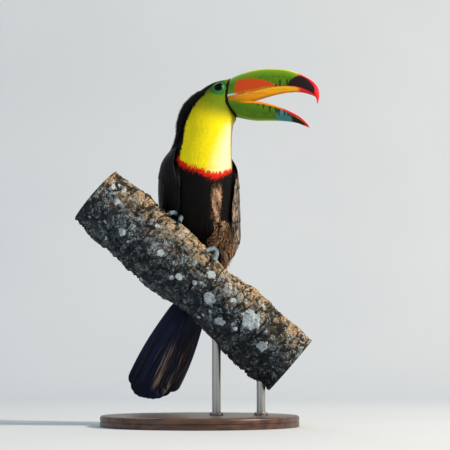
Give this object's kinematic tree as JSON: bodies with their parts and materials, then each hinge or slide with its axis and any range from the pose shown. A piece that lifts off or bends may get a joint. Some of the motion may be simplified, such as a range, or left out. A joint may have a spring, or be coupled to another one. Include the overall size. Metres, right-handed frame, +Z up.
{
  "type": "keel-billed toucan",
  "caption": "Life-size still model of a keel-billed toucan with its bill open, perched on a short cut length of branch over a flat round display base.",
  "frame": {"origin": "centre of the underside of the round display base", "axes": "+Z up; +X the way the bill points; -Y the side of the bird that the breast turns to, seen by a viewer who faces +Y"},
  "size_m": [0.3091, 0.25, 0.4524],
  "materials": {
    "black_feather": "feather, black with a faint sheen",
    "yellow_feather": "feather, bright yellow",
    "head_skin": "bare skin and short feather, green to yellow",
    "bill_green": "horn, satin, green with orange, blue and red",
    "tongue_flesh": "flesh, satin",
    "eye_dark": "glass eye, glossy and dark",
    "foot_scale": "scaled skin, blue-grey",
    "claw_horn": "horn, dark, satin",
    "bark": "rough bark with lichen",
    "base_wood": "dark wood, satin varnish",
    "rod_metal": "satin steel"
  },
  "bodies": {
    "root": {"trunk": "black_feather", "neck": "yellow_feather", "head": "head_skin", "bill_upper": "bill_green", "bill_lower": "bill_green", "tongue": "tongue_flesh", "eye_left": "eye_dark", "eye_right": "eye_dark", "wing_left": "black_feather", "wing_right": "black_feather", "tail": "black_feather", "leg_left": "foot_scale", "leg_right": "foot_scale", "perch": "bark", "stand_base": "base_wood", "stand_rod_1": "rod_metal", "stand_rod_2": "rod_metal", "claw_left_1": "claw_horn", "claw_left_2": "claw_horn", "claw_left_3": "claw_horn", "claw_left_4": "claw_horn", "claw_right_1": "claw_horn", "claw_right_2": "claw_horn", "claw_right_3": "claw_horn", "claw_right_4": "claw_horn"}
  },
  "joints": []
}
